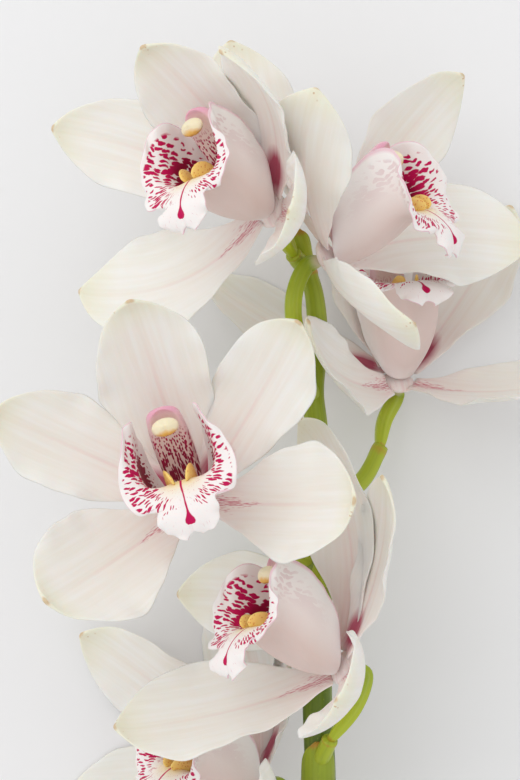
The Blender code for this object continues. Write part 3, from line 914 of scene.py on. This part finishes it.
def make_lip(name, bloom, sizes, inside, outside, callus):
    """The lip with its ruffled margin and its two keels."""
    bm = blank("fan", "zones", "extra")
    verts, u, v = grid(bm, 56, 44)
    w = np.abs(v)
    x, y, z = lip_points(u, v).T
    across = np.linalg.norm(lip_points(u, np.sign(v) * 1.0 + (v == 0)) - lip_points(u, 0 * v), axis=1)
    run = LIP_LENGTH * u
    edge = np.minimum((1 - w) * across * 1.15, (1 - u) * LIP_LENGTH)

    # Ruffles about 7.5 mm long run along the margin, with a finer frill on its edge.
    phase = 1.7 * int(name)
    wave = np.sin(TURN * run / 7.5 + phase + 0.8 * np.sign(v)) + 0.3 * np.sin(TURN * run / 4.1 + 2 * phase)
    frill = np.sin(TURN * run / 2.7 + 3 * phase + np.sign(v)) * w**14
    strong = 0.25 + 0.75 * ramp(u, 0.3, 0.55)
    height = 1000 * sizes.ruffle * (wave * w**4 + 0.6 * frill) * strong * ramp(u, 0.02, 0.2)
    height = height + 350 * sizes.ruffle * np.sin(TURN * x / 8 + phase) * ramp(u, 0.8, 1.0)
    # A shallow furrow runs down the middle.
    height = height + 0.4 * bump(x, 0, 0.9) * ramp(u, 0.3, 0.5)
    points = raised(lip_points, u, v, height)

    # Dashes are dense on the side lobes, and thin out on the floor, the top and the tip.
    side = ramp(w, 0.22, 0.4)
    upper = ramp(w, 0.75, 0.9) * (1 - ramp(z, 22, 29))
    density = 0.2 + 0.8 * side - 0.8 * upper
    density = density * (1 - 0.95 * ramp(u, 0.75, 0.85)) * ramp(u, 0.12, 0.32)
    density = density * (1 - 0.12 * ramp(u, 0.5, 0.65))
    patch = bump(z, 17.5, 7.5) * bump(w, 0.6, 0.24)
    # Half the width of the middle line, which ends in a blob.
    stripe = 0.28 + 1.1 * bump(u, 0.905, 0.035) - 3 * ramp(u, 0.935, 0.96) - 2 * (1 - ramp(u, 0.44, 0.5))
    yellow = bump(run, 25, 5.5) * bump(x, 0, 4.8)
    put(
        bm,
        verts,
        placed(bloom, points),
        flesh=1 - 0.8 * w**6,
        fan=(14 * np.arctan2(x, 1.5 - y) + 30, z + np.hypot(x, y - 1.5), 3.1 * int(name)),
        zones=(edge, np.clip(density, 0, 1), patch),
        extra=(stripe - np.abs(x), yellow, ramp(patch, 0.1, 0.4)),
    )
    blade = thickened(made_object(bm, "lip_" + name, outside, inside), sizes.lip_thick)

    bm = blank("fan", "zones", "extra")
    tall = 500 * sizes.keel * np.array(KEEL_TALL)
    along = np.linspace(0, 1, len(KEEL_TALL))
    for hand in (-1, 1):
        verts, t, angle, share = ball(bm, 18, 24)
        rail = raised(lip_points, 0.22 + 0.38 * along, hand * (0.15 - 0.07 * along), -0.85 * tall)
        full = share**0.5
        lean = np.array([1.0, -0.28 * hand, 0])
        points = swept(rail, KEEL_WIDE, tall, lean, t, full * np.cos(angle), full * np.sin(angle))
        put(bm, verts, placed(bloom, points))
    return joined([blade, made_object(bm, "keels_" + name, callus)])


def make_column(name, bloom, flesh):
    """The column: round on its back, hollow below, with a thin rim round its hood."""
    bm = blank("barrel", "parts")
    verts, t, angle, share = ball(bm, 36, 40)
    full = share**0.6
    c, s = np.cos(angle), np.sin(angle)
    hollow = (0.45 + 0.75 * c**2) * np.sqrt(np.clip(1 - np.abs(c) ** 8, 0, 1))
    tall = np.where(s > 0, s, -hollow * (1 - (1 + np.clip(s, -1, 0)) ** 6))
    line = [(0.0,) + point for point in COLUMN]
    points = swept(line, COLUMN_WIDE, COLUMN_DEEP, np.array([1.0, 0, 0]), t, full * c, full * tall)
    far = eased(t)
    under = ramp(-s, -0.1, 0.35)
    rim = 0.85 * ramp(far, 0.72, 1.0) + 0.4 * bump(np.abs(c), 1.0, 0.25) * ramp(far, 0.3, 0.7)
    put(
        bm,
        verts,
        placed(bloom, points),
        barrel=(points[:, 0] + 20, COLUMN_LENGTH * far, 2.7 * int(name)),
        parts=(under, np.clip(rim, 0, 1), 1 - ramp(far, 0.25, 0.85)),
    )
    return made_object(bm, "column_" + name, flesh)


def make_cap(name, bloom, wax):
    """The anther cap: a bean of two lobes, with a notch between them and a small beak."""
    bm = blank("parts")
    verts, t, angle, share = ball(bm, 32, 24)
    x, y, z = share * np.cos(angle), share * np.sin(angle), 2 * t - 1
    notch = 1 - 0.17 * bump(x, 0, 0.16) * ramp(z - 0.6 * y, -0.3, 0.6)
    beak = 0.18 * bump(x, 0, 0.3) * ramp(-y, 0.5, 1.0)
    bean = 0.16 * (x**2 - 0.5) * ramp(-y, -0.2, 0.8)
    local = np.array(CAP_SIZE) * np.column_stack([x, (y - beak - bean) * notch, z * notch])
    put(bm, verts, placed(bloom, local + np.array(CAP_AT)), parts=(ramp(-y, 0.25, 1.0), 0, 0))
    return made_object(bm, "anther_cap_" + name, wax)


def make_ovary(name, bloom, sizes, skin):
    """The ovary: six ribs that wind slowly, and a ring at its joint. It widens towards the bloom, and
    its ends run a little into the stalk and the seat."""
    joint = np.asarray(bloom.stalk[-1], float)
    leaving = unit(joint - np.asarray(bloom.stalk[-2]))
    back, end = (np.asarray(bloom.seat) - unit(bloom.faces) * far for far in (bloom.back, 3.5))
    line = [joint - 0.8 * leaving] + list(bloom.ovary) + [back, end]
    wide = np.linspace(2.3, 2.9, len(line))
    bm = blank("rind", "parts")
    verts, t, angle, share = ball(bm, 36, 44)
    depth = 1000 * sizes.rib / 2.5
    full = share**0.45 * (1 - depth + depth * np.cos(6 * angle + 2.5 * t) * np.sin(np.pi * t))
    upward = np.array([0.3, 0.2, 0.93])
    points = swept(line, wide, wide, upward, t, full * np.cos(angle), full * np.sin(angle))
    far = eased(t)
    ring = 0.6 * (1 - ramp(far, 0.03, 0.07))
    put(
        bm,
        verts,
        lifted(points, 0.02),
        rind=(2.6 * angle + 20, OVARY_LENGTH * far, int(name)),
        parts=(0.1 + 0.45 * ramp(far, 0.3, 0.9), ring, 0.8 * ramp(far, 0.88, 1.0)),
    )
    return made_object(bm, "ovary_" + name, skin)


def rod(knots, t, angle, side, step):
    """A line through points with a radius each, and the way outwards at each place round it."""
    line = smooth_line(knots, t)
    run = unit(smooth_line(knots, t + step)[:, :3] - smooth_line(knots, t - step)[:, :3])
    across = unit(np.cross(run, side))
    normal = np.cross(across, run)
    return line, normal * np.sin(angle)[:, None] - across * np.cos(angle)[:, None]


def make_stem(sizes, skin, pith):
    """The stem with its stalks, joint rings, scales and cut face."""
    collar = 1000 * sizes.collar
    top, low = STEM[0][1], STEM[-1][1]
    bm = blank("rind", "parts")
    verts, t, angle = tube(bm, 40, 260)
    line, spoke = rod(STEM, t, angle, [0, 0, 1.0], 0.004)
    ring = sum(bump(line[:, 1], foot[1] - 1.0, 0.9) for foot, *_ in SCALES)
    flutes = 0.05 * np.cos(9 * angle) + 0.04 * np.cos(5 * angle + 0.01 * line[:, 1])
    radius = line[:, 3] + collar * ring + flutes - 0.06
    down = (top - line[:, 1]) / (top - low)
    put(
        bm,
        verts,
        lifted(line[:, :3] + spoke * radius[:, None], 0.02),
        rind=(4 * angle + 20, -line[:, 1], 0),
        parts=(0.4 + 0.6 * ramp(down, 0.0, 0.4), 0.75 * ring, 0),
    )
    # The cut face lies a little inside the rind.
    bm.normal_update()
    bottom = [f for f in bm.faces if len(f.verts) > 4 and f.calc_center_median().y < low + 1]
    bmesh.ops.inset_region(bm, faces=bottom, thickness=0.5, depth=-0.25)
    for face in bottom:
        face.material_index = 1
    parts = [made_object(bm, "orchid_stem", skin, pith)]

    for name, bloom in BLOOMS.items():
        bm = blank("rind", "parts")
        verts, t, angle = tube(bm, 28, 24)
        knots = [spot + (2.5,) for spot in bloom.stalk[:-1]] + [bloom.stalk[-1] + (2.2,)]
        line, spoke = rod(knots, t, angle, [0.2, 0.1, 1.0], 0.02)
        ring = bump(t, 0.95, 0.05)
        radius = line[:, 3] - 0.05 + 0.5 * collar * ring
        rind = 2.5 * angle + 20, STALK_LENGTH * t, int(name)
        points = line[:, :3] + spoke * radius[:, None]
        put(bm, verts, points, rind=rind, parts=(0.3 - 0.1 * t, 0.6 * ring, 0))
        parts.append(made_object(bm, "stalk_" + name, skin))

    for k, (foot, lean, radius, long, open_at, wrap, age) in enumerate(SCALES):
        bm = blank("rind", "parts")
        verts, t, v = grid(bm, 20, 24)
        along = unit(lean)
        sideways = unit(np.cross([0, 0, 1.0], along))
        upward = np.cross(along, sideways)
        turn = np.radians(open_at + wrap * v * (1 - 0.97 * t**2.4) ** 0.8)
        out = radius + 0.5 + 1.5 * t**3 + 0.12 * np.cos(9 * v * np.pi) * t
        spoke = np.cos(turn)[:, None] * sideways + np.sin(turn)[:, None] * upward
        dry = ramp(t, 0.7, 1.0) + 0.3 * ramp(np.abs(v), 0.92, 1.0)
        points = lifted(np.asarray(foot) + along * (long * t)[:, None] + spoke * out[:, None], 0.5)
        rind = 5 * turn + 20, long * t, 7 + k
        put(bm, verts, points, 1 - np.abs(v) ** 6 * t, rind=rind, parts=(age * (1 - 0.35 * t), dry, 0))
        scale = made_object(bm, "scale_" + str(k), skin, skin)
        parts.append(thickened(scale, SCALE_THICK / 1000, offset=-1.0))
    return joined(parts)


class ORCHID_OT_tepals(bpy.types.Operator):
    """Build the sepals and petals of all blooms"""

    bl_idname = "orchid.tepals"
    bl_label = "Sepals and Petals"

    def execute(self, context):
        sizes, colours = context.scene.orchid_sizes, context.scene.orchid_colours
        front = petal_skin("petal_flesh", colours, True)
        back = petal_skin("petal_flesh_back", colours, False)
        for name, bloom in BLOOMS.items():
            finished(make_tepals(name, bloom, sizes, front, back), "bloom_" + name + "_tepals")
        return {"FINISHED"}


class ORCHID_OT_lips(bpy.types.Operator):
    """Build the lips with their keels"""

    bl_idname = "orchid.lips"
    bl_label = "Lips"

    def execute(self, context):
        sizes, colours = context.scene.orchid_sizes, context.scene.orchid_colours
        inside = lip_skin("lip_flesh", colours, True)
        outside = lip_skin("lip_flesh_back", colours, False)
        callus = keel_skin(colours)
        for name, bloom in BLOOMS.items():
            finished(make_lip(name, bloom, sizes, inside, outside, callus), "bloom_" + name + "_lip")
        return {"FINISHED"}


class ORCHID_OT_columns(bpy.types.Operator):
    """Build the columns and their anther caps"""

    bl_idname = "orchid.columns"
    bl_label = "Columns"

    def execute(self, context):
        colours = context.scene.orchid_colours
        flesh, wax = column_skin(colours), cap_skin(colours)
        for name, bloom in BLOOMS.items():
            finished(make_column(name, bloom, flesh), "bloom_" + name + "_column")
            finished(make_cap(name, bloom, wax), "bloom_" + name + "_anther_cap")
        return {"FINISHED"}


class ORCHID_OT_ovaries(bpy.types.Operator):
    """Build the ovaries that carry the blooms"""

    bl_idname = "orchid.ovaries"
    bl_label = "Ovaries"

    def execute(self, context):
        sizes, colours = context.scene.orchid_sizes, context.scene.orchid_colours
        skin = green_skin("ovary_rind", colours, colours.green)
        for name, bloom in BLOOMS.items():
            finished(make_ovary(name, bloom, sizes, skin), "bloom_" + name + "_ovary")
        return {"FINISHED"}


class ORCHID_OT_stem(bpy.types.Operator):
    """Build the stem with its scales, joints and cut end"""

    bl_idname = "orchid.stem"
    bl_label = "Stem"

    def execute(self, context):
        sizes, colours = context.scene.orchid_sizes, context.scene.orchid_colours
        skin = green_skin("stem_rind", colours, colours.deep)
        finished(make_stem(sizes, skin, pith_skin(colours)), "stem")
        return {"FINISHED"}


class ORCHID_OT_stage(bpy.types.Operator):
    """Set up the table, the soft light and the camera"""

    bl_idname = "orchid.stage"
    bl_label = "Stage"

    def execute(self, context):
        scene, stage = context.scene, context.scene.orchid_stage
        bm = bmesh.new()
        bmesh.ops.create_grid(bm, x_segments=1, y_segments=1, size=4.0)
        mesh = bpy.data.meshes.new("table")
        bm.to_mesh(mesh)
        bm.free()
        # Matt laminate: an even pale field with no gloss of its own.
        laminate, _ = material("matt_laminate")
        finish = {"Base Color": scene.orchid_colours.floor, "Roughness": 0.9, "Specular IOR Level": 0.1}
        feed(laminate.node_tree, laminate.node_tree.nodes["Principled BSDF"], finish)
        mesh.materials.append(laminate)
        table = bpy.data.objects.new("table", mesh)
        scene.collection.objects.link(table)

        world = bpy.data.worlds.new("sky")
        world.use_nodes = True
        sky = world.node_tree.nodes["Background"]
        feed(world.node_tree, sky, {"Strength": stage.sky, "Color": (1.0, 1.0, 1.0, 1.0)})
        scene.world = world
        scene.view_settings.view_transform = "Standard"

        lamp = bpy.data.lights.new("soft_box", "AREA")
        lamp.energy = stage.lamp
        lamp.shape = "SQUARE"
        lamp.size = stage.lamp_size
        soft_box = bpy.data.objects.new("soft_box", lamp)
        soft_box.location = (-0.75, 0.95, 1.25)
        soft_box.rotation_euler = (-0.56, -0.46, 0.0)
        scene.collection.objects.link(soft_box)

        lens = bpy.data.cameras.new("camera")
        lens.sensor_fit = "VERTICAL"
        lens.sensor_height = 36.0
        lens.lens = stage.lens
        lens.clip_start = 0.01
        camera = bpy.data.objects.new("camera", lens)
        camera.location = (-CENTRE[0] / 1000, -CENTRE[1] / 1000, stage.camera_height)
        scene.collection.objects.link(camera)
        scene.camera = camera
        return {"FINISHED"}


class ORCHID_PT_panel(bpy.types.Panel):
    """Lists the parts of the stem and their settings"""

    bl_label = "Cymbidium Stem"
    bl_idname = "ORCHID_PT_panel"
    bl_space_type = "VIEW_3D"
    bl_region_type = "UI"
    bl_category = "Orchid"

    def draw(self, context):
        for one in OPERATORS:
            self.layout.operator(one.bl_idname)
        for group in (context.scene.orchid_sizes, context.scene.orchid_colours, context.scene.orchid_stage):
            box = self.layout.box()
            for key in group.__annotations__:
                box.prop(group, key)


OPERATORS = (
    ORCHID_OT_tepals,
    ORCHID_OT_lips,
    ORCHID_OT_columns,
    ORCHID_OT_ovaries,
    ORCHID_OT_stem,
    ORCHID_OT_stage,
)
CLASSES = (OrchidSizes, OrchidColours, OrchidStage) + OPERATORS + (ORCHID_PT_panel,)


def register():
    for one in CLASSES:
        bpy.utils.register_class(one)
    bpy.types.Scene.orchid_sizes = PointerProperty(type=OrchidSizes)
    bpy.types.Scene.orchid_colours = PointerProperty(type=OrchidColours)
    bpy.types.Scene.orchid_stage = PointerProperty(type=OrchidStage)


def unregister():
    del bpy.types.Scene.orchid_stage
    del bpy.types.Scene.orchid_colours
    del bpy.types.Scene.orchid_sizes
    for one in reversed(CLASSES):
        bpy.utils.unregister_class(one)


def main():
    register()
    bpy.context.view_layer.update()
    bpy.ops.orchid.tepals()
    bpy.ops.orchid.lips()
    bpy.ops.orchid.columns()
    bpy.ops.orchid.ovaries()
    bpy.ops.orchid.stem()
    bpy.ops.orchid.stage()


if __name__ == "__main__":
    main()
